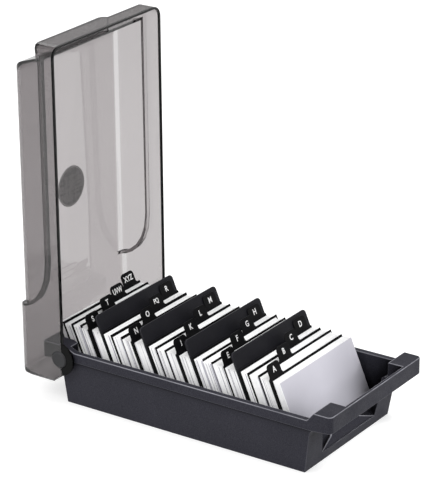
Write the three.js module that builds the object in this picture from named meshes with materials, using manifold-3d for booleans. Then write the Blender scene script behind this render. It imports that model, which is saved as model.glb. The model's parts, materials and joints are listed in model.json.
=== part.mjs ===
// Desk card file: an open tray of leaning cards with a hinged see-through lid, shown open.
// Millimetres. +Z is up, -Y is the handle end, +Y is the hinge end.
// The origin is the centre of the tray's flat underside.
import * as THREE from 'three';
import { mergeVertices } from 'three/addons/utils/BufferGeometryUtils.js';
import Module from 'manifold-3d';

const wasm = await Module();
wasm.setup();

// ---- driving dimensions ----

// Tray: side walls, floor and the overhanging ends.
const TRAY = {
  halfWidthBottom: 53.5,
  halfWidthTop: 56.8,
  halfLengthBottom: 98.7,
  frontWallTop: -104.2,
  rearWallTop: 103.2,
  rearKnee: [100.4, 20],
  wall: 2.6,
  floor: 3.5,
  rimHalfWidth: 58.4,
  rimLow: 34.5,
  rimTop: 41.5,
};
const HANDLE = {
  front: -121.7,
  thickness: 2.5,
  low: 35.7,
  top: 47.6,
  padBack: -108,
  rampBack: -103,
  padInnerX: 37,
};
const REAR = {
  back: 114.3,
  low: 33.3,
  top: 45.5,
  padFront: 97,
  rampFront: 88,
  blockFront: 93.5,
  blockInnerX: 46.2,
  leaningFoot: 90.8,
};
// The inner face of the front wall beside the scoop, from the floor up into the posts.
const POST_FACE = [[-96.1, 3.5], [-101.3, 33.5], [-107.5, 38]];
// Finger scoop in the front wall, between half widths that grow upwards: a lip and a short slope.
const SCOOP = { lip: [-99.3, 7], slopeBack: [-96.1, 9.6], halfLow: 33.5, halfHigh: 40.5 };
// The low wall behind the scoop leans with the cards, and a mound swells from its middle.
const APRON_TOP = 16.5;
const MOUND = { middle: [-97.6, 12], halfMiddle: 20, halfTop: 8 };
const UNDERCUT = { radius: 7.5, slant: 1 };
const PLAN_RADIUS = { front: 3.5, rear: 1.5 };

// Hinge: one axis across the back of the tray.
const AXIS = { y: 99, z: 35.5 };
const PIN = { radius: 6, spigotRadius: 3, reach: 62.3, root: 53.6, chamfer: 0.8 };
const RUNNING_GAP = 0.3;

// Lid, standing open: its rim faces -Y and its panel is the back of it.
const LID = {
  wall: 1.6,
  rim: 95.7,
  panel: 133,
  top: 261.6,
  bottom: 16,
  halfWidth: 61.35,
  crownHalfWidth: 57.1,
  stepDepth: 13,
  sweepTop: 105,
  sweepBottom: 70,
  endEdge: 106,
  endCut: 10,
  heel: { reach: 14, rise: 9, draft: 0.8 },
  sweepPull: { panel: 9, step: 10 },
  shoulder: { drop: 8, reach: 8, rise: 3.5 },
  crownTop: 252,
  crownShoulder: 243.5,
  cornerRadius: 8,
  endRadius: 4,
  panelRadius: 5.5,
  earRadius: 12.2,
};
const POCKET = { low: 250, back: 113.3, right: 17.5 };
const BADGE = { x: 1.5, z: 137.5, radius: 15, thickness: 0.6 };

// Filed stack: everything in it leans back by the same angle.
const LEAN = THREE.MathUtils.degToRad(23);
const FOOT = 3.9;
const REFERENCE_HEIGHT = 56.8;
const STACK_GAP = 0.3;
const GUIDE = { width: 91, height: 56.7, thickness: 0.5 };
const TAB = { height: 9.6, topWidth: 14.5, baseWidth: 19, radius: 3, flare: 2.6 };
const TAB_CENTRES = [-36.5, -11.4, 11.4, 34.1];
const DIVIDER = { width: 91, height: 68.4, thickness: 1.3, corner: 3 };
const CARD = { width: 90, height: 55.7 };
// Where each divider's front face crosses the reference height, then its guides behind it.
const DIVIDER_PITCH = 37.8;
const FIRST_DIVIDER = -38.7;
const GUIDE_OFFSETS = [10.4, 20.8, 28.8, 36.1];
const LAST_GUIDE_OFFSETS = [9.8, 18.8, 25.4, 32.4];
const FRONT_FACE = -72.7;
const REAR_FACE = 112.1;
// A few guides stand a little to one side of their neighbours.
const SIDE_SHIFTS = { A: -1.5, B: 1, F: 1.2, G: 2.4, J: -1.5, N: -1.5, O: 1.2, S: -1.5, T: 2.2, UVW: 0.4 };
const LETTERS = [
  ['A', 'B', 'C', 'D'],
  ['E', 'F', 'G', 'H'],
  ['J', 'K', 'L', 'M'],
  ['N', 'O', 'PQ', 'R'],
  ['S', 'T', 'UVW', 'XYZ'],
];

// Cutting shapes run past the object by BEYOND; joined ones overlap by INSIDE.
const BEYOND = 200;
const INSIDE = 1;
const CURVE_STEPS = 6;
const ROUND_STEPS = 40;

// ---- colours ----

const COLOURS = {
  tray: [0x35343b, 0.62],
  lid: [0x5c5656, 0.12],
  pin: [0x45454c, 0.5],
  badge: [0x77737a, 0.7],
  guide: [0x151417, 0.55],
  divider: [0x1b1a1e, 0.6],
  cards: [0xeeeef2, 0.75],
};

function material(kind) {
  const [color, roughness] = COLOURS[kind];
  const look = new THREE.MeshStandardMaterial({ color, roughness, metalness: 0 });
  if (kind === 'lid') {
    look.transparent = true;
    look.opacity = 0.4;
  }
  return look;
}

// ---- solids ----

// A closed geometry as a manifold solid.
function solidOf(geometry) {
  const bare = geometry.clone();
  bare.deleteAttribute('normal');
  bare.deleteAttribute('uv');
  const merged = mergeVertices(bare, 1e-4);
  return new wasm.Manifold(new wasm.Mesh({
    numProp: 3,
    vertProperties: new Float32Array(merged.attributes.position.array),
    triVerts: new Uint32Array(merged.index.array),
  }));
}

function geometryOf(solid) {
  const mesh = solid.getMesh();
  const geometry = new THREE.BufferGeometry();
  geometry.setAttribute('position', new THREE.BufferAttribute(new Float32Array(mesh.vertProperties), 3));
  geometry.setIndex(new THREE.BufferAttribute(new Uint32Array(mesh.triVerts), 1));
  geometry.computeVertexNormals();
  return geometry;
}

function extrude(shape, depth) {
  return new THREE.ExtrudeGeometry(shape, { depth, bevelEnabled: false, curveSegments: CURVE_STEPS });
}

const AXES = {
  x: new THREE.Vector3(1, 0, 0),
  y: new THREE.Vector3(0, 1, 0),
  z: new THREE.Vector3(0, 0, 1),
};
// An outline drawn in Y and Z, run along X.
const ALONG_X = new THREE.Matrix4().makeBasis(AXES.y, AXES.z, AXES.x);
// An outline drawn in X and Z, run along -Y.
const ALONG_Y = new THREE.Matrix4().makeBasis(AXES.x, AXES.z, AXES.y.clone().negate());

function prismAlongX(shape, fromX, toX) {
  const geometry = extrude(shape, toX - fromX).applyMatrix4(ALONG_X);
  return solidOf(geometry.translate(fromX, 0, 0));
}

function prismAlongY(shape, fromY, toY) {
  const geometry = extrude(shape, toY - fromY).applyMatrix4(ALONG_Y);
  return solidOf(geometry.translate(0, toY, 0));
}

function prismAlongZ(shape, fromZ, toZ) {
  return solidOf(extrude(shape, toZ - fromZ).translate(0, 0, fromZ));
}

function polygon(points) {
  return new THREE.Shape(points.map(([u, v]) => new THREE.Vector2(u, v)));
}

function rectangle(left, right, low, high) {
  return polygon([[left, low], [right, low], [right, high], [left, high]]);
}

// A rectangle whose upper corners are round, and whose lower ones are if lowRadius is given.
function roundedRectangle(left, right, low, high, radius, lowRadius = 0) {
  const shape = new THREE.Shape();
  shape.moveTo(left + lowRadius, low);
  shape.lineTo(right - lowRadius, low);
  if (lowRadius > 0) {
    shape.absarc(right - lowRadius, low + lowRadius, lowRadius, -Math.PI / 2, 0);
  }
  shape.lineTo(right, high - radius);
  shape.absarc(right - radius, high - radius, radius, 0, Math.PI / 2);
  shape.lineTo(left + radius, high);
  shape.absarc(left + radius, high - radius, radius, Math.PI / 2, Math.PI);
  if (lowRadius > 0) {
    shape.lineTo(left, low + lowRadius);
    shape.absarc(left + lowRadius, low + lowRadius, lowRadius, Math.PI, Math.PI * 1.5);
  }
  shape.closePath();
  return shape;
}

// A round bar along X at the given place.
function barAlongX(radius, fromX, toX, y, z) {
  const geometry = new THREE.CylinderGeometry(radius, radius, toX - fromX, ROUND_STEPS);
  geometry.rotateZ(Math.PI / 2);
  return solidOf(geometry.translate((fromX + toX) / 2, y, z));
}

function named(name, geometry, kind) {
  const mesh = new THREE.Mesh(geometry, material(kind));
  mesh.name = name;
  return mesh;
}

// ---- tray ----

// Side view of the drafted box, with a curved undercut below each overhanging end.
function trayBodySide() {
  const { radius, slant } = UNDERCUT;
  const frontBend = TRAY.frontWallTop - radius;
  const high = TRAY.rimTop - INSIDE;
  const back = REAR.back - INSIDE;
  const shape = new THREE.Shape();
  shape.moveTo(-TRAY.halfLengthBottom, 0);
  shape.lineTo(TRAY.frontWallTop + slant, HANDLE.low - radius);
  shape.quadraticCurveTo(TRAY.frontWallTop, HANDLE.low, frontBend, HANDLE.low);
  shape.lineTo(frontBend, high);
  shape.lineTo(back, high);
  shape.lineTo(back, REAR.low);
  shape.quadraticCurveTo(TRAY.rearWallTop + slant, REAR.low - slant, TRAY.rearWallTop, REAR.low - radius);
  shape.lineTo(...TRAY.rearKnee);
  shape.lineTo(TRAY.halfLengthBottom, 0);
  return shape;
}

// Side view of the rim with the handle pads in front and the hinge blocks behind.
function rimSide() {
  return polygon([
    [HANDLE.front, HANDLE.low],
    [TRAY.frontWallTop, TRAY.rimLow],
    [TRAY.rearWallTop, TRAY.rimLow],
    [REAR.back, REAR.low],
    [REAR.back, REAR.top],
    [REAR.padFront, REAR.top],
    [REAR.rampFront, TRAY.rimTop],
    [HANDLE.rampBack, TRAY.rimTop],
    [HANDLE.padBack, HANDLE.top],
    [HANDLE.front, HANDLE.top],
  ]);
}

function draftedSection(halfLow, halfHigh, low, high) {
  return polygon([[-halfLow, low], [halfLow, low], [halfHigh, high], [-halfHigh, high]]);
}

function trayOutside() {
  const side = prismAlongX(trayBodySide(), -BEYOND, BEYOND);
  const section = draftedSection(TRAY.halfWidthBottom, TRAY.halfWidthTop, 0, TRAY.rimTop);
  const body = side.intersect(prismAlongY(section, HANDLE.front, REAR.back));
  const rim = prismAlongX(rimSide(), -TRAY.rimHalfWidth, TRAY.rimHalfWidth);
  const plan = roundedRectangle(
    -TRAY.rimHalfWidth, TRAY.rimHalfWidth, HANDLE.front, REAR.back, PLAN_RADIUS.rear, PLAN_RADIUS.front);
  return body.add(rim.intersect(prismAlongZ(plan, 0, HANDLE.top)));
}

// The inner face of the wall that the cards lean on, at a given height.
function leaningFace(start, height) {
  return start[0] + (height - start[1]) * Math.tan(LEAN);
}

function trayCavity() {
  const top = HANDLE.top + INSIDE;
  const low = TRAY.halfWidthBottom - TRAY.wall;
  const high = TRAY.halfWidthTop - TRAY.wall;
  const width = prismAlongY(draftedSection(low, high, TRAY.floor, top), -BEYOND, BEYOND);
  const front = [[POST_FACE.at(-1)[0], top], ...POST_FACE.toReversed()];
  const foot = [REAR.leaningFoot, TRAY.floor];
  const middle = polygon([...front, foot, [leaningFace(foot, top), top]]);
  const sides = polygon([...front, [REAR.blockFront, TRAY.floor], [REAR.blockFront, top]]);
  const length = prismAlongX(middle, -REAR.blockInnerX, REAR.blockInnerX)
    .add(prismAlongX(sides, -BEYOND, BEYOND));
  return width.intersect(length).subtract(apronBulk());
}

// The smallest solid around the given points and their mirror images across X.
function mirroredHull(points) {
  return wasm.Manifold.hull(points.flatMap(([x, y, z]) => [[x, y, z], [-x, y, z]]));
}

// The apron, filled out to the handle's front.
function apronBulk() {
  const inner = [SCOOP.slopeBack[0] + TRAY.wall, SCOOP.slopeBack[1]];
  const side = polygon([
    [HANDLE.front, 0],
    [leaningFace(inner, 0), 0],
    [leaningFace(inner, APRON_TOP), APRON_TOP],
    [HANDLE.front, APRON_TOP],
  ]);
  return prismAlongX(side, -SCOOP.halfHigh, SCOOP.halfHigh);
}

// The space in front of the apron, below the handle: it widens upwards.
function scoopHollow() {
  return mirroredHull([
    [SCOOP.halfLow, HANDLE.padBack, SCOOP.lip[1]],
    [SCOOP.halfLow, ...SCOOP.lip],
    [SCOOP.halfLow, ...SCOOP.slopeBack],
    [SCOOP.halfHigh, leaningFace(SCOOP.slopeBack, HANDLE.low), HANDLE.low],
    [SCOOP.halfHigh, HANDLE.padBack, HANDLE.low],
  ]);
}

// The mound rises from the scoop's lip to the top of the apron, ever narrower.
function mound() {
  const apron = (height) => leaningFace(SCOOP.slopeBack, height) + INSIDE;
  return mirroredHull([
    [SCOOP.halfLow, ...SCOOP.lip],
    [SCOOP.halfLow, apron(SCOOP.lip[1]), SCOOP.lip[1] - INSIDE],
    [MOUND.halfMiddle, ...MOUND.middle],
    [MOUND.halfTop, leaningFace(SCOOP.slopeBack, APRON_TOP), APRON_TOP],
    [MOUND.halfTop, apron(APRON_TOP), APRON_TOP],
  ]);
}

// The opening between the handle's two pads, behind its bar.
function handleOpening() {
  const back = HANDLE.front + HANDLE.thickness;
  const high = HANDLE.top + INSIDE;
  const outline = rectangle(back, leaningFace(SCOOP.slopeBack, HANDLE.low), HANDLE.low - INSIDE, high);
  return prismAlongX(outline, -HANDLE.padInnerX, HANDLE.padInnerX);
}

function buildTray() {
  const hole = PIN.spigotRadius + RUNNING_GAP;
  const depth = PIN.root - RUNNING_GAP;
  const left = barAlongX(hole, -BEYOND, -depth, AXIS.y, AXIS.z);
  const right = barAlongX(hole, depth, BEYOND, AXIS.y, AXIS.z);
  const cuts = [trayCavity(), scoopHollow(), handleOpening(), left, right];
  return cuts.reduce((solid, cut) => solid.subtract(cut), trayOutside()).add(mound());
}

// A stub pin: a thin spigot in the tray's block and a fat head that the lid's ear turns on.
function buildPin(side) {
  const head = TRAY.rimHalfWidth + RUNNING_GAP;
  const profile = [
    [0, PIN.root], [PIN.spigotRadius, PIN.root], [PIN.spigotRadius, head], [PIN.radius, head],
    [PIN.radius, PIN.reach - PIN.chamfer], [PIN.radius - PIN.chamfer, PIN.reach], [0, PIN.reach],
  ].map(([r, x]) => new THREE.Vector2(r, x));
  const geometry = new THREE.LatheGeometry(profile, ROUND_STEPS);
  geometry.rotateZ(-side * Math.PI / 2);
  return solidOf(geometry.translate(0, AXIS.y, AXIS.z));
}

// ---- lid ----

// Side view of the full-width part: the skirt, and the deep end around the hinge.
function skirtSide(inset) {
  const front = inset > 0 ? LID.rim - BEYOND : LID.rim;
  const step = LID.rim + LID.stepDepth - inset;
  const panel = LID.panel - inset;
  const bottom = LID.bottom + inset;
  const shape = new THREE.Shape();
  shape.moveTo(inset > 0 ? front : LID.endEdge, bottom);
  shape.lineTo(panel - LID.heel.reach, bottom + LID.heel.draft);
  shape.quadraticCurveTo(panel, bottom + LID.heel.draft, panel, bottom + LID.heel.rise);
  shape.lineTo(panel, LID.sweepBottom - inset);
  shape.bezierCurveTo(
    panel - LID.sweepPull.panel, LID.sweepBottom - inset,
    step, LID.sweepBottom + LID.sweepPull.step - inset,
    step, LID.sweepTop - inset);
  shape.lineTo(step, LID.top - inset);
  shape.lineTo(front, LID.top - inset);
  if (inset === 0) {
    shape.lineTo(front, AXIS.z - LID.endCut);
  }
  return shape;
}

// Side view of the narrower crown, with its sloping end.
function crownSide(inset) {
  const front = LID.rim + (inset > 0 ? -BEYOND : INSIDE);
  const panel = LID.panel - inset;
  const low = LID.sweepBottom - LID.stepDepth - inset;
  const shoulder = LID.crownShoulder - inset;
  const { drop, reach, rise } = LID.shoulder;
  const shape = new THREE.Shape();
  shape.moveTo(front, low);
  shape.lineTo(panel, low);
  shape.lineTo(panel, shoulder - drop);
  shape.quadraticCurveTo(panel, shoulder + INSIDE, panel - reach, shoulder + rise);
  shape.lineTo(LID.rim + LID.stepDepth, LID.crownTop - inset);
  shape.lineTo(front, LID.crownTop - inset);
  return shape;
}

function lidPart(side, halfWidth, inset, endRadius) {
  const half = halfWidth - inset;
  const high = LID.top - inset;
  const low = LID.bottom + inset;
  const end = roundedRectangle(-half, half, low, high, endRadius - inset, LID.endRadius - inset);
  const plan = roundedRectangle(-half, half, -BEYOND, LID.panel - inset, LID.panelRadius - inset);
  return prismAlongX(side, -half, half)
    .intersect(prismAlongY(end, -BEYOND, BEYOND))
    .intersect(prismAlongZ(plan, 0, LID.top));
}

// The raised pocket behind the end skirt, from the left side to just right of centre.
function pocket(inset) {
  const half = LID.halfWidth - inset;
  const front = LID.rim + (inset > 0 ? -INSIDE : INSIDE);
  const outline = roundedRectangle(
    -half, POCKET.right - inset, front, POCKET.back - inset, LID.panelRadius - inset);
  const end = roundedRectangle(-half, half, 0, LID.top - inset, LID.cornerRadius - inset);
  return prismAlongZ(outline, POCKET.low + inset, LID.top - inset)
    .intersect(prismAlongY(end, -BEYOND, BEYOND));
}

function lidBulk(inset) {
  return lidPart(skirtSide(inset), LID.halfWidth, inset, LID.cornerRadius)
    .add(lidPart(crownSide(inset), LID.crownHalfWidth, inset, LID.cornerRadius))
    .add(pocket(inset));
}

function buildLid() {
  let shell = lidBulk(0).subtract(lidBulk(LID.wall));
  for (const side of [-1, 1]) {
    const outer = side * LID.halfWidth;
    const inner = side * (LID.halfWidth - LID.wall);
    const [from, to] = [Math.min(outer, inner), Math.max(outer, inner)];
    shell = shell
      .add(barAlongX(LID.earRadius, from, to, AXIS.y, AXIS.z))
      .subtract(barAlongX(PIN.radius + RUNNING_GAP, from - INSIDE, to + INSIDE, AXIS.y, AXIS.z));
  }
  return shell;
}

function badgeGeometry() {
  const geometry = new THREE.CylinderGeometry(BADGE.radius, BADGE.radius, BADGE.thickness, ROUND_STEPS);
  const y = LID.panel + RUNNING_GAP + BADGE.thickness / 2;
  return geometry.translate(BADGE.x, y, BADGE.z);
}

// ---- filed stack ----

// Where a leaning plane that crosses the reference height at the given place is at another height.
function planeAt(face, height) {
  return face - (REFERENCE_HEIGHT - height) * Math.tan(LEAN);
}

// A thin plate standing on the tray floor and leaning back, its front face at the given place.
function leaningPlate(name, shape, thickness, face, kind) {
  const geometry = extrude(shape, thickness).applyMatrix4(ALONG_Y).translate(0, thickness, 0);
  const mesh = named(name, geometry, kind);
  const foot = FOOT + thickness * Math.sin(LEAN);
  mesh.rotation.x = -LEAN;
  mesh.position.set(0, planeAt(face, foot), foot);
  return mesh;
}

// A pack of cards: each card stands on the floor, so the pack is level at its foot and its top.
function leaningPack(name, frontFace, backFace) {
  const top = FOOT + CARD.height * Math.cos(LEAN);
  const outline = polygon([
    [planeAt(frontFace, FOOT), FOOT], [planeAt(backFace, FOOT), FOOT],
    [planeAt(backFace, top), top], [planeAt(frontFace, top), top],
  ]);
  const geometry = extrude(outline, CARD.width).applyMatrix4(ALONG_X);
  return named(name, geometry.translate(-CARD.width / 2, 0, 0), 'cards');
}

// The index tab's outline: concave flares, straight sides and round upper corners.
function guideShape(tabCentre) {
  const half = GUIDE.width / 2;
  const top = GUIDE.height;
  const tabTop = top + TAB.height;
  const baseLeft = Math.max(tabCentre - TAB.baseWidth / 2, -half);
  const baseRight = Math.min(tabCentre + TAB.baseWidth / 2, half);
  const left = tabCentre - TAB.topWidth / 2;
  const right = tabCentre + TAB.topWidth / 2;
  const shape = new THREE.Shape();
  shape.moveTo(-half, 0);
  shape.lineTo(half, 0);
  shape.lineTo(half, top);
  shape.lineTo(baseRight, top);
  shape.quadraticCurveTo(right, top, right, top + TAB.flare);
  shape.lineTo(right, tabTop - TAB.radius);
  shape.absarc(right - TAB.radius, tabTop - TAB.radius, TAB.radius, 0, Math.PI / 2);
  shape.lineTo(left + TAB.radius, tabTop);
  shape.absarc(left + TAB.radius, tabTop - TAB.radius, TAB.radius, Math.PI / 2, Math.PI);
  shape.lineTo(left, top + TAB.flare);
  shape.quadraticCurveTo(left, top, baseLeft, top);
  shape.lineTo(-half, top);
  shape.closePath();
  return shape;
}

function buildStack(group) {
  const horizontal = 1 / Math.cos(LEAN);
  const gap = STACK_GAP * horizontal;
  let face = FRONT_FACE;

  function addPack(name, until) {
    group.add(leaningPack(name, face, until - gap));
    face = until;
  }

  function addGuide(letter, centre) {
    const guide = leaningPlate(`guide_${letter}`, guideShape(centre), GUIDE.thickness, face, 'guide');
    guide.position.x = SIDE_SHIFTS[letter] ?? 0;
    group.add(guide);
    face += GUIDE.thickness * horizontal + gap;
  }

  function addDivider(number) {
    const half = DIVIDER.width / 2;
    const shape = roundedRectangle(-half, half, 0, DIVIDER.height, DIVIDER.corner);
    group.add(leaningPlate(`divider_${number}`, shape, DIVIDER.thickness, face, 'divider'));
    face += DIVIDER.thickness * horizontal + gap;
  }

  LETTERS.forEach((section, sectionIndex) => {
    const start = FIRST_DIVIDER + (sectionIndex - 1) * DIVIDER_PITCH;
    const last = sectionIndex === LETTERS.length - 1;
    const offsets = last ? LAST_GUIDE_OFFSETS : GUIDE_OFFSETS;
    section.forEach((letter, index) => {
      addPack(`cards_before_${letter}`, start + offsets[index]);
      addGuide(letter, TAB_CENTRES[index]);
    });
    if (!last) {
      addDivider(sectionIndex + 1);
    }
  });
  addPack('cards_at_back', REAR_FACE);
}

// ---- assembly ----

const cardFile = new THREE.Group();
cardFile.add(named('tray', geometryOf(buildTray()), 'tray'));
cardFile.add(named('pivot_pin_left', geometryOf(buildPin(-1)), 'pin'));
cardFile.add(named('pivot_pin_right', geometryOf(buildPin(1)), 'pin'));
cardFile.add(named('lid', geometryOf(buildLid()), 'lid'));
cardFile.add(named('lid_badge', badgeGeometry(), 'badge'));
buildStack(cardFile);

export default cardFile;
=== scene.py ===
# Desk card file: materials, sheets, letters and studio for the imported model. Metres, +Z up.
import json
import math
import random

import bmesh
import bpy
from mathutils import Matrix, Vector


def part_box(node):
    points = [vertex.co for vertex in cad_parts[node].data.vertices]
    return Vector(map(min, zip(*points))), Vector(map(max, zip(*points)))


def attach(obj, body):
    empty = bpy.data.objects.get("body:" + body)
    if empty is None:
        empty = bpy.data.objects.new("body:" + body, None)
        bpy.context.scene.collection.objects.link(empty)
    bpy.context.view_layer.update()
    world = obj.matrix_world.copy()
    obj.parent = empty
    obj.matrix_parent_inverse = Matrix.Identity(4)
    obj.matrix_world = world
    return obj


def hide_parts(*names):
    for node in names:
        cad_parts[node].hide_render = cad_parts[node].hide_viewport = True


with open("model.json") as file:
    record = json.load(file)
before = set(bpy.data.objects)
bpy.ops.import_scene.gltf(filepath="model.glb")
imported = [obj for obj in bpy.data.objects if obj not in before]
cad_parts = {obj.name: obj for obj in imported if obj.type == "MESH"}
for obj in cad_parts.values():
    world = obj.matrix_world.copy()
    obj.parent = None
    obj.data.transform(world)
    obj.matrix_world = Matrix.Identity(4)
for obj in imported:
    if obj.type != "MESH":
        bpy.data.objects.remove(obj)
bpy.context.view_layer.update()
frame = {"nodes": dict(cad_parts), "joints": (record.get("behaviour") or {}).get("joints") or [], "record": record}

MM = 0.001
BODY_OF = {n: body for body, nodes in frame["record"]["behaviour"]["bodies"].items() for n in nodes}
UP = Vector(next(j["axis"] for j in frame["joints"] if j["type"] == "slide"))
RIGHT = Vector((1, 0, 0))
FACING = RIGHT.cross(UP)


# ---- materials ----


class Look:
    """A material with one Principled shader, and short calls for the nodes that feed it."""

    def __init__(self, name, **values):
        self.material = bpy.data.materials.new(name)
        self.material.use_nodes = True
        self.tree = self.material.node_tree
        self.shader = self.tree.nodes["Principled BSDF"]
        self.place = self.node("ShaderNodeTexCoord").outputs["Object"]
        for key, value in values.items():
            self.shader.inputs[key.replace("_", " ")].default_value = value

    def node(self, kind, **inputs):
        made = self.tree.nodes.new(kind)
        for key, value in inputs.items():
            self.feed(made.inputs[key], value)
        return made

    def feed(self, socket, value):
        if isinstance(value, bpy.types.NodeSocket):
            self.tree.links.new(value, socket)
        else:
            socket.default_value = value

    def stretched(self, scale):
        mapping = self.node("ShaderNodeMapping", Vector=self.place)
        mapping.inputs["Scale"].default_value = scale
        return mapping.outputs["Vector"]

    def noise(self, scale, detail=3.0, roughness=0.5, place=None):
        made = self.node("ShaderNodeTexNoise", Vector=place or self.place)
        made.inputs["Scale"].default_value = scale
        made.inputs["Detail"].default_value = detail
        made.inputs["Roughness"].default_value = roughness
        return made.outputs["Fac"]

    def ramp(self, source, stops):
        made = self.node("ShaderNodeValToRGB", Fac=source)
        elements = made.color_ramp.elements
        while len(elements) < len(stops):
            elements.new(0.5)
        for element, (position, colour) in zip(elements, stops):
            element.position = position
            element.color = (*colour, 1) if isinstance(colour, tuple) else (colour, colour, colour, 1)
        return made.outputs["Color"]

    def mix(self, factor, first, second):
        """Sockets 6 and 7 are the two colours of a Mix node, and its output 2 is their mix."""
        made = self.node("ShaderNodeMix")
        made.data_type = "RGBA"
        self.feed(made.inputs["Factor"], factor)
        self.feed(made.inputs[6], first)
        self.feed(made.inputs[7], second)
        return made.outputs[2]

    def math(self, operation, first, second):
        made = self.node("ShaderNodeMath")
        made.operation = operation
        self.feed(made.inputs[0], first)
        self.feed(made.inputs[1], second)
        return made.outputs[0]

    def bump(self, *layers):
        """Each layer is (height, strength, distance), laid over the one before it."""
        normal = None
        for height, strength, distance in layers:
            made = self.node("ShaderNodeBump", Height=height, Strength=strength, Distance=distance)
            if normal:
                self.feed(made.inputs["Normal"], normal)
            normal = made.outputs["Normal"]
        self.feed(self.shader.inputs["Normal"], normal)

    def painted_hollow_shade(self, reach, stops):
        """Painted shade: dark down in the piece's own hollows, where shade falls, and unshaded where it is open.
        """
        made = self.node("ShaderNodeAmbientOcclusion", Distance=reach)
        made.only_local = True
        made.samples = HOLLOW_SAMPLES
        return self.ramp(made.outputs["AO"], stops)

    def attribute(self, name):
        """A value that the mesh carries on its faces."""
        made = self.node("ShaderNodeAttribute")
        made.attribute_name = name
        return made.outputs["Fac"]


# Painted shade: hollows lose light over this distance; where less than the first stop is open, they are painted
# darkest.
HOLLOW_REACH = 0.03
HOLLOW_SAMPLES = 8
HOLLOW_STOPS = [(0.5, 0.0), (0.75, 0.15), (0.92, 1.0)]
HOLLOW_SHADE_COLOUR = (0.0005, 0.0005, 0.0006, 1)
HOLLOW_SHADE_GLOSS = (0.05, 0.05, 0.05, 1)
WHITE = (1, 1, 1, 1)


def moulded_plastic(name, dark, light, edge, roughness, grain, specular):
    """Matt moulded plastic: cloudy tone, spark-eroded grain and scuffs, with a painted highlight on its outward
    edges and painted shade in its hollows.
    """
    look = Look(name, IOR=1.5, Specular_IOR_Level=specular)
    cloud = look.noise(28, 4)
    fine = look.noise(grain, 2, 0.6)
    scuffs = look.noise(60, 5, 0.65, look.stretched((1, 0.15, 1)))
    tone = look.mix(cloud, (*dark, 1), (*light, 1))
    tone = look.mix(look.ramp(fine, [(0.35, 0.0), (0.75, 0.05)]), tone, (*edge, 1))
    # A painted highlight along outward edges, broken up by the scuff pattern.
    edge_highlight = look.math("MULTIPLY", look.attribute("edge"), look.ramp(scuffs, [(0.35, 0.35), (0.65, 0.9)]))
    tone = look.mix(edge_highlight, tone, (*edge, 1))
    # Painted shade in the piece's own hollows darkens both its colour and its reflection.
    clear = look.painted_hollow_shade(HOLLOW_REACH, HOLLOW_STOPS)
    look.feed(look.shader.inputs["Base Color"], look.mix(clear, HOLLOW_SHADE_COLOUR, tone))
    look.feed(look.shader.inputs["Specular Tint"], look.mix(clear, HOLLOW_SHADE_GLOSS, WHITE))
    shine = look.ramp(scuffs, [(0.35, roughness - 0.07), (0.7, roughness + 0.09)])
    look.feed(look.shader.inputs["Roughness"], shine)
    look.bump((cloud, 0.06, 0.001), (fine, 0.22, 0.00012))
    return look.material


SMOKE_COLOUR = (0.47, 0.445, 0.45, 1)
SMOKE_DENSITY = 640


def smoked_plastic():
    """Tinted clear plastic: part of the tint is in its volume, and values painted on the mesh's faces set the
    rest: painted shade at its dark edges and a painted highlight in its clear round corners.
    """
    look = Look("lid_smoked", IOR=1.49, Transmission_Weight=1.0)
    painted_clarity = look.attribute("painted_clarity")
    # Painted light: the darkest faces are painted shade, with their reflection dimmed too, and the clearest are a
    # painted highlight.
    tint = look.ramp(painted_clarity, [(0.0, (0.004, 0.004, 0.004)), (0.5, (0.70, 0.68, 0.683)), (1.0, 0.92)])
    look.feed(look.shader.inputs["Base Color"], tint)
    look.feed(look.shader.inputs["Specular Tint"], look.ramp(painted_clarity, [(0.0, 0.02), (0.5, 1.0)]))
    haze = look.noise(35, 4, 0.6)
    look.feed(look.shader.inputs["Roughness"], look.ramp(haze, [(0.4, 0.01), (0.75, 0.05)]))
    waves = look.noise(9, 2)
    streaks = look.noise(50, 3, 0.5, look.stretched((1, 1, 0.08)))
    look.bump((waves, 0.05, 0.002), (streaks, 0.02, 0.0005))
    absorb = look.node("ShaderNodeVolumeAbsorption", Color=SMOKE_COLOUR, Density=SMOKE_DENSITY)
    look.feed(look.tree.nodes["Material Output"].inputs["Volume"], absorb.outputs["Volume"])
    return look.material


# From the darkest cut edges, painted shade between the sheets, by way of the front card's painted shade, to fresh
# white card.
CARD_SHADES = [
    (0.0, (0.20, 0.19, 0.23)),
    (0.3, (0.47, 0.46, 0.52)),
    (0.6, (0.80, 0.80, 0.83)),
    (0.85, 0.92),
    (1.0, 0.97),
]


def card_stock():
    """White cut card: the mesh's "tone" varies each sheet and paints shade on the front card and some cut edges,
    over faint fibre.
    """
    look = Look("card_stock")
    base = look.ramp(look.attribute("tone"), CARD_SHADES)
    fibre = look.noise(900, 4, 0.6)
    cloud = look.noise(45, 3)
    base = look.mix(look.ramp(fibre, [(0.4, 0.0), (0.8, 0.10)]), base, (0.55, 0.55, 0.58, 1))
    base = look.mix(look.ramp(cloud, [(0.45, 0.0), (0.8, 0.12)]), base, (0.78, 0.78, 0.84, 1))
    look.feed(look.shader.inputs["Base Color"], base)
    look.feed(look.shader.inputs["Roughness"], look.ramp(cloud, [(0.3, 0.68), (0.7, 0.82)]))
    look.bump((fibre, 0.12, 0.00008))
    return look.material


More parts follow.
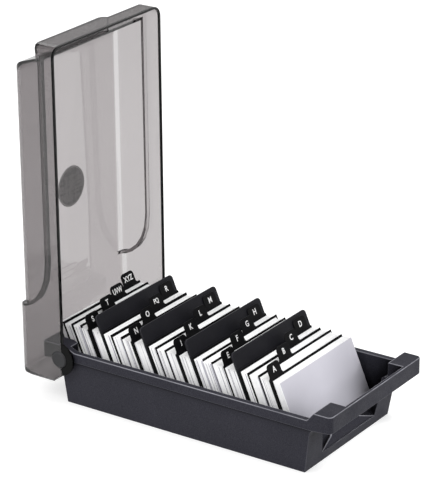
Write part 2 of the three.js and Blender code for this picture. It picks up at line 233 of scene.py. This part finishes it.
def frosted_plastic():
    """The medallion: milky grey with a fine cross-hatched frosting, and a white ring painted on as a highlight
    along its rim.
    """
    look = Look("badge_frosted", IOR=1.49)
    grain = look.noise(1400, 2, 0.6)
    upright = look.noise(520, 3, 0.6, look.stretched((1, 1, 0.15)))
    level = look.noise(520, 3, 0.6, look.stretched((0.15, 1, 1)))
    hatch = look.ramp(look.math("ADD", upright, level), [(0.8, 0.0), (1.0, 0.5), (1.2, 1.0)])
    base = look.mix(hatch, (0.27, 0.255, 0.26, 1), (0.64, 0.615, 0.62, 1))
    # The white ring is a painted highlight.
    look.feed(look.shader.inputs["Base Color"], look.mix(look.attribute("edge"), base, WHITE))
    look.feed(look.shader.inputs["Roughness"], look.ramp(grain, [(0.3, 0.45), (0.7, 0.65)]))
    look.bump((grain, 0.25, 0.0001))
    return look.material


def printed_white():
    """Screen-printed letters: white ink with a slight break-up."""
    look = Look("letter_ink", Roughness=0.5)
    ink = look.noise(2200, 3, 0.6)
    look.feed(look.shader.inputs["Base Color"], look.ramp(ink, [(0.3, 0.66), (0.6, 0.86)]))
    look.bump((ink, 0.1, 0.00005))
    return look.material


# Each plastic's edge colour is its painted edge highlight; its grain flecks lean a little towards it too.
LOOKS = {
    "tray": moulded_plastic(
        "tray_plastic", dark=(0.0135, 0.0135, 0.0195), light=(0.022, 0.0215, 0.0305),
        edge=(0.38, 0.38, 0.42), roughness=0.5, grain=1500, specular=0.08),
    "pin": moulded_plastic(
        "pin_plastic", dark=(0.008, 0.008, 0.009), light=(0.014, 0.014, 0.016),
        edge=(0.10, 0.10, 0.11), roughness=0.42, grain=1200, specular=0.3),
    "guide": moulded_plastic(
        "guide_plastic", dark=(0.002, 0.002, 0.0025), light=(0.005, 0.005, 0.0055),
        edge=(0.025, 0.025, 0.028), roughness=0.46, grain=1800, specular=0.06),
    "divider": moulded_plastic(
        "divider_plastic", dark=(0.0055, 0.0055, 0.0075), light=(0.0098, 0.0095, 0.0132),
        edge=(0.07, 0.07, 0.078), roughness=0.5, grain=1400, specular=0.12),
    "lid": smoked_plastic(),
    "badge": frosted_plastic(),
    "cards": card_stock(),
    "letters": printed_white(),
}


# ---- pieces ----


def piece(name, mesh, body, look, slot, *nodes):
    """A new object on a CAD body, standing for CAD nodes."""
    made = bpy.data.objects.new(name, mesh)
    bpy.context.scene.collection.objects.link(made)
    mesh.materials.clear()
    mesh.materials.append(LOOKS[look])
    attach(made, body)
    if nodes:
        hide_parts(*nodes)
    return made


CREASE = math.radians(36)


def finished_mesh(shape, name):
    """A mesh from a bmesh, smooth but for its sharp edges."""
    for face in shape.faces:
        face.smooth = True
    for edge in shape.edges:
        edge.smooth = edge.calc_face_angle(0) < CREASE
    mesh = bpy.data.meshes.new(name)
    shape.to_mesh(mesh)
    shape.free()
    return mesh


def even_shading(made):
    """Large faces lead the shading, so that rounded edges don't tint the flats beside them."""
    modifier = made.modifiers.new("even_shading", "WEIGHTED_NORMAL")
    modifier.keep_sharp = True
    modifier.weight = 80


def face_values(mesh, name, values):
    """Put one value on each face, for a material to read."""
    layer = mesh.attributes.new(name, "FLOAT", "FACE")
    layer.data.foreach_set("value", values)


WELD = 0.002 * MM
FLAT = math.radians(0.5)
SHARP = math.radians(30)
# Painted edge highlights, as if lit from above, show most where the edges face up; this much is left on those that
# don't.
LEAST_EDGE_HIGHLIGHT = 0.12


def rounded(node, look, slot, radius, segments=2, measure="OFFSET"):
    """The CAD shape with its sharp edges rounded off, and its outward edges marked for painted light: a highlight
    on most pieces, shade on the lid.
    """
    shape = bmesh.new()
    shape.from_mesh(frame["nodes"][node].data)
    bmesh.ops.remove_doubles(shape, verts=shape.verts, dist=WELD)
    bmesh.ops.dissolve_limit(shape, angle_limit=FLAT, verts=shape.verts, edges=shape.edges)
    edge = shape.faces.layers.float.new("edge")
    corners = [e for e in shape.edges if e.calc_face_angle(0) > SHARP]
    bevel = bmesh.ops.bevel(
        shape, geom=corners, offset=radius, offset_type=measure, segments=segments, profile=0.5,
        affect="EDGES", clamp_overlap=False)
    for face in bevel["faces"]:
        face.normal_update()
        # Outward edges get a painted highlight, strongest where they face up.
        if sum(e.calc_face_angle_signed(0) for e in face.edges) > 0:
            face[edge] = LEAST_EDGE_HIGHLIGHT + (1 - LEAST_EDGE_HIGHLIGHT) * max(0, face.normal.z)
    made = piece(f"{node}_moulded", finished_mesh(shape, node), BODY_OF[node], look, slot, node)
    even_shading(made)
    return made


# A face looks along an axis when its normal's part on it is over MOSTLY, and stands in a round
# corner when two parts are over TURNED and the third is under SLIGHT.
MOSTLY = 0.8
TURNED = 0.42
SLIGHT = 0.3
# Painted tint of each part of the lid, from 0 (black) to 1: painted shade at the dark edges, a painted highlight
# in the clear round corners, and the walls and panel tinted by the way they face.
CORNER_HIGHLIGHT = 1.0
SIDE_WALL = 0.68
PANEL = 0.5
END_WALL = 0.38
EDGE_SHADE = 0.0
CORNER_DEPTH = 6 * MM
RIM_DEPTH = 1.4 * MM


def painted_face_clarity(face, edge, rim, panel):
    """The painted tint of one face of the lid; rim and panel are the Y of its open rim and outer panel."""
    across, outward, up = (abs(part) for part in face.normal)
    if min(across, outward) > TURNED and up < SLIGHT and face.center.y > panel - CORNER_DEPTH:
        return CORNER_HIGHLIGHT
    if edge or face.center.y < rim:
        return EDGE_SHADE
    if across > MOSTLY:
        return SIDE_WALL
    return END_WALL if up > MOSTLY else PANEL


def paint_lid_clarity(lid):
    """Painted shade at the lid's cut rim and sharp bends, a painted highlight in the round corners of its panel.
    """
    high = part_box("lid")[1]
    rim = min(v.co.y for v in lid.data.vertices if v.co.z > high.z - RIM_DEPTH) + RIM_DEPTH
    shape = bmesh.new()
    shape.from_mesh(lid.data)
    everything = shape.verts[:] + shape.edges[:] + shape.faces[:]
    bmesh.ops.bisect_plane(shape, geom=everything, plane_co=(0, rim, 0), plane_no=(0, 1, 0))
    shape.to_mesh(lid.data)
    shape.free()
    edges = [item.value for item in lid.data.attributes["edge"].data]
    values = [painted_face_clarity(face, edge, rim, high.y) for face, edge in zip(lid.data.polygons, edges)]
    face_values(lid.data, "painted_clarity", values)


def on_plane(x, depth, z):
    """The point at a given x and height on the leaning plane at a given depth along FACING."""
    return Vector((x, (FACING.z * z - depth) / -FACING.y, z))


def depths(node):
    """How far the back and front of a leaning CAD node lie along FACING."""
    reach = [v.co.dot(FACING) for v in frame["nodes"][node].data.vertices]
    return min(reach), max(reach)


SHEET_PITCH = 0.66 * MM
SHEET_THICKNESS = 0.42 * MM
# The largest share of its pitch that a sheet fills.
THICKEST = 0.8
FEWEST_SHEETS = 4
# In mm: the front sheet's inset at each side, the mean and spread of the others' inset, and the
# spread of how far their tops lie below the front one's.
FRONT_INSET = 0.1
SIDE_INSET = (0.2, 0.45)
TOP_DROP = 0.28
# The share of sheets that are pushed to one side, and by how many mm.
PUSHED = 0.12
PUSH = (0.8, 2.0)
# Tones for card_stock: the front card, which carries painted shade, other faces, and cut edges, of which some are
# dark as painted shade between the sheets.
FRONT_SHADE_TONE = 0.33
FACE_TONES = (0.8, 1.0)
TOP_TONES = (0.85, 1.0)
CUT_TONES = (0.7, 1.0)
DARK_CUT_TONES = (0.0, 0.3)
DARK_CUTS = 0.24


def sheet_tones(first, rng):
    """Tones of a sheet's front, back, bottom, right, top and left."""
    # The front card's face is painted shade, and some cut edges are painted dark as shade between the sheets.
    flat = FRONT_SHADE_TONE if first else rng.uniform(*FACE_TONES)
    cut = rng.uniform(*DARK_CUT_TONES) if rng.random() < DARK_CUTS else rng.uniform(*CUT_TONES)
    return [flat, flat, flat, cut, rng.uniform(*TOP_TONES), cut]


def sheet_pack(node, rng):
    """A pack of single sheets inside the CAD pack, each a little off its neighbours."""
    low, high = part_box(node)
    back, front = depths(node)
    count = max(FEWEST_SHEETS, round((front - back) / SHEET_PITCH))
    pitch = (front - back) / count
    thickness = min(SHEET_THICKNESS, pitch * THICKEST)
    shape = bmesh.new()
    tones = []
    for index in range(count):
        first = index == 0
        slack = 0 if first else rng.uniform(0, pitch - thickness)
        depth = front - index * pitch - slack
        drop = 0 if first else abs(rng.gauss(0, TOP_DROP)) * MM
        left = low.x + (FRONT_INSET if first else abs(rng.gauss(*SIDE_INSET))) * MM
        right = high.x - (FRONT_INSET if first else abs(rng.gauss(*SIDE_INSET))) * MM
        if not first and rng.random() < PUSHED:
            left += rng.uniform(*PUSH) * MM
        corners = []
        for plane in (depth, depth - thickness):
            for x, z in ((left, low.z), (right, low.z), (right, high.z - drop), (left, high.z - drop)):
                corners.append(shape.verts.new(on_plane(x, plane, z)))
        a, b = corners[:4], corners[4:]
        faces = [a, b[::-1]] + [[a[(i + 1) % 4], a[i], b[i], b[(i + 1) % 4]] for i in range(4)]
        for face in faces:
            shape.faces.new(face)
        tones += sheet_tones(first, rng)
    mesh = finished_mesh(shape, node)
    face_values(mesh, "tone", tones)
    return piece(node.replace("cards", "sheets"), mesh, BODY_OF[node], "cards", "card_stock", node)


LETTER_HEIGHT = 4.2 * MM
LETTER_DEPTH = 0.06 * MM
LETTER_FROM_TOP = 4.5 * MM
LETTER_CLEARANCE = 0.01 * MM
# Letters are narrowed a little, and more where two or three have to share a tab.
NARROWING = 0.92
SHARED_NARROWING = 0.9
SHARED_WIDTH = 10.5 * MM
STROKE_GAIN = 0.02
LETTER_SPACING = 0.95
LETTER_WELD = 1e-6


def letter_mesh(text):
    """Raised sans-serif letters, centred on their own middle in the XY plane."""
    curve = bpy.data.curves.new(f"letters_{text}", "FONT")
    curve.body = text
    curve.space_character = LETTER_SPACING
    curve.offset = STROKE_GAIN
    holder = bpy.data.objects.new(f"letters_{text}", curve)
    bpy.context.scene.collection.objects.link(holder)
    bpy.context.view_layer.update()
    evaluated = holder.evaluated_get(bpy.context.evaluated_depsgraph_get())
    mesh = bpy.data.meshes.new_from_object(evaluated)
    bpy.data.objects.remove(holder)
    low = Vector(min(v.co[i] for v in mesh.vertices) for i in range(3))
    high = Vector(max(v.co[i] for v in mesh.vertices) for i in range(3))
    scale = LETTER_HEIGHT / (high.y - low.y)
    natural_width = (high.x - low.x) * scale
    width = NARROWING if len(text) == 1 else min(SHARED_NARROWING, SHARED_WIDTH / natural_width)
    sized = Matrix.Diagonal((scale * width, scale, scale, 1))
    mesh.transform(sized @ Matrix.Translation(-(low + high) / 2))
    shape = bmesh.new()
    shape.from_mesh(mesh)
    bmesh.ops.remove_doubles(shape, verts=shape.verts, dist=LETTER_WELD)
    grown = bmesh.ops.extrude_face_region(shape, geom=shape.faces[:])
    moved = [v for v in grown["geom"] if isinstance(v, bmesh.types.BMVert)]
    bmesh.ops.translate(shape, verts=moved, vec=(0, 0, LETTER_DEPTH))
    bmesh.ops.recalc_face_normals(shape, faces=shape.faces)
    bpy.data.meshes.remove(mesh)
    return finished_mesh(shape, f"letters_{text}")


def tab_letters(node):
    """White letters on the front of a guide's tab."""
    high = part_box(node)[1]
    top = [v.co.x for v in frame["nodes"][node].data.vertices if v.co.z > high.z - 1 * MM]
    centre_x = (min(top) + max(top)) / 2
    front = depths(node)[1]
    height = high.z - LETTER_FROM_TOP * UP.z
    mesh = letter_mesh(node.removeprefix("guide_"))
    turn = Matrix((RIGHT, UP, FACING)).transposed().to_4x4()
    mesh.transform(Matrix.Translation(on_plane(centre_x, front + LETTER_CLEARANCE, height)) @ turn)
    return piece(node.replace("guide", "letters"), mesh, BODY_OF[node], "letters", "guide_plastic")


RING_WIDTH = 1.3 * MM
DISC_STEPS = 72


def medallion(node):
    """A dished disc with a raised ring, on the outside of the lid's panel."""
    low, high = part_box(node)
    centre = (low + high) / 2
    radius = (high.x - low.x) / 2
    inner, outer = low.y, high.y
    profile = [
        (0, inner),
        (radius - RING_WIDTH, inner),
        (radius - 0.3 * MM, inner),
        (radius, inner + 0.15 * MM),
        (radius, outer - 0.2 * MM),
        (radius - 0.3 * MM, outer),
        (radius - 1.2 * MM, outer),
        (radius - 1.6 * MM, outer - 0.3 * MM),
        (radius * 0.5, outer - 0.25 * MM),
        (0, outer - 0.2 * MM),
    ]
    shape = bmesh.new()
    rings = []
    for r, y in profile:
        turns = [math.tau * i / DISC_STEPS for i in range(DISC_STEPS)] if r else [0]
        places = [(centre.x + r * math.cos(t), y, centre.z + r * math.sin(t)) for t in turns]
        rings.append([shape.verts.new(place) for place in places])
    for a, b in zip(rings, rings[1:]):
        for i in range(DISC_STEPS):
            j = (i + 1) % DISC_STEPS
            loop = [a[i % len(a)], a[j % len(a)], b[j % len(b)], b[i % len(b)]]
            shape.faces.new(list(dict.fromkeys(loop)))
    bmesh.ops.recalc_face_normals(shape, faces=shape.faces)
    # The ring's faces are marked for the painted white highlight.
    edge = shape.faces.layers.float.new("edge")
    for face in shape.faces:
        middle = face.calc_center_median() - centre
        face[edge] = float(math.hypot(middle.x, middle.z) > radius - RING_WIDTH)
    mesh = finished_mesh(shape, "medallion")
    return piece("medallion", mesh, BODY_OF[node], "badge", "badge_frosted", node)


TRAY_EDGE = 0.5 * MM
LID_EDGE = 0.65 * MM
PIN_EDGE = 0.25 * MM
DIVIDER_EDGE = 0.25 * MM
GUIDE_EDGE = 0.15 * MM

rounded("tray", "tray", "tray_plastic", TRAY_EDGE, segments=3)
# Measured along the neighbouring edges, the lid's rounding can't throw a point past its walls.
paint_lid_clarity(rounded("lid", "lid", "lid_smoked", LID_EDGE, measure="ABSOLUTE"))
for pin in ("pivot_pin_left", "pivot_pin_right"):
    rounded(pin, "pin", "pin_plastic", PIN_EDGE)
medallion("lid_badge")
rng = random.Random(7)
for name in sorted(frame["nodes"]):
    if name.startswith("divider"):
        rounded(name, "divider", "divider_plastic", DIVIDER_EDGE)
    if name.startswith("guide"):
        rounded(name, "guide", "guide_plastic", GUIDE_EDGE)
        tab_letters(name)
    if name.startswith("cards"):
        sheet_pack(name, rng)


# ---- studio ----


FLOOR_REACH = 6
FLOOR_GLOW = 0.62


def floor():
    """A pale floor with a little glow of its own, so that it runs out into the white world."""
    shape = bmesh.new()
    bmesh.ops.create_grid(shape, x_segments=2, y_segments=2, size=FLOOR_REACH)
    made = bpy.data.objects.new("floor", finished_mesh(shape, "floor"))
    bpy.context.scene.collection.objects.link(made)
    look = Look("floor_paint", Roughness=0.9, Emission_Color=WHITE, Emission_Strength=FLOOR_GLOW)
    cloud = look.noise(2, 2)
    look.feed(look.shader.inputs["Base Color"], look.ramp(cloud, [(0.3, 0.52), (0.7, 0.56)]))
    made.data.materials.append(look.material)


def soft_light(name, place, target, size, power, mirrored=True):
    """A soft box; one that isn't mirrored leaves no bright patch on the shut lid."""
    data = bpy.data.lights.new(name, "AREA")
    data.shape = "RECTANGLE"
    data.size, data.size_y = size
    data.energy = power
    lamp = bpy.data.objects.new(name, data)
    lamp.location = place
    lamp.visible_glossy = mirrored
    lamp.rotation_euler = (Vector(target) - Vector(place)).to_track_quat("-Z", "Y").to_euler()
    bpy.context.scene.collection.objects.link(lamp)


def world_light(strength):
    world = bpy.data.worlds.new("studio")
    world.use_nodes = True
    background = world.node_tree.nodes["Background"]
    background.inputs["Color"].default_value = WHITE
    background.inputs["Strength"].default_value = strength
    bpy.context.scene.world = world


SENSOR_WIDTH = 36


def camera(azimuth, elevation, roll, distance, target, lens):
    """The camera looks at target from azimuth and elevation, in degrees; azimuth 0 looks along +Y."""
    a, e, r = (math.radians(x) for x in (azimuth, elevation, roll))
    back = Vector((math.sin(a) * math.cos(e), -math.cos(a) * math.cos(e), math.sin(e)))
    right = Vector((math.cos(a), math.sin(a), 0))
    up = back.cross(right)
    across = right * math.cos(r) + up * math.sin(r)
    above = up * math.cos(r) - right * math.sin(r)
    data = bpy.data.cameras.new("camera")
    data.lens = lens
    data.sensor_width = SENSOR_WIDTH
    made = bpy.data.objects.new("camera", data)
    turn = Matrix((across, above, back)).transposed().to_4x4()
    made.matrix_world = Matrix.Translation(Vector(target) + back * distance) @ turn
    bpy.context.scene.collection.objects.link(made)
    bpy.context.scene.camera = made


floor()
world_light(0.68)
soft_light("key", place=(0.1, -0.6, 1.65), target=(0, 0, 0.05), size=(0.7, 0.7), power=13)
soft_light("fill", place=(-1.2, 0.3, 1.3), target=(0, 0, 0.05), size=(1.2, 0.8), power=12)
soft_light("rim", place=(0.9, 0.9, 1.2), target=(0, 0, 0.1), size=(0.8, 0.8), power=3)
soft_light(
    "low", place=(1.1, -0.95, 0.5), target=(0, -0.1, 0.03), size=(0.5, 0.3), power=3.5, mirrored=False)
camera(
    azimuth=-55.28, elevation=21.81, roll=-0.55, distance=1.6878,
    target=(0.00147, 0.01176, 0.12303), lens=185.47)
bpy.context.scene.view_settings.view_transform = "Standard"
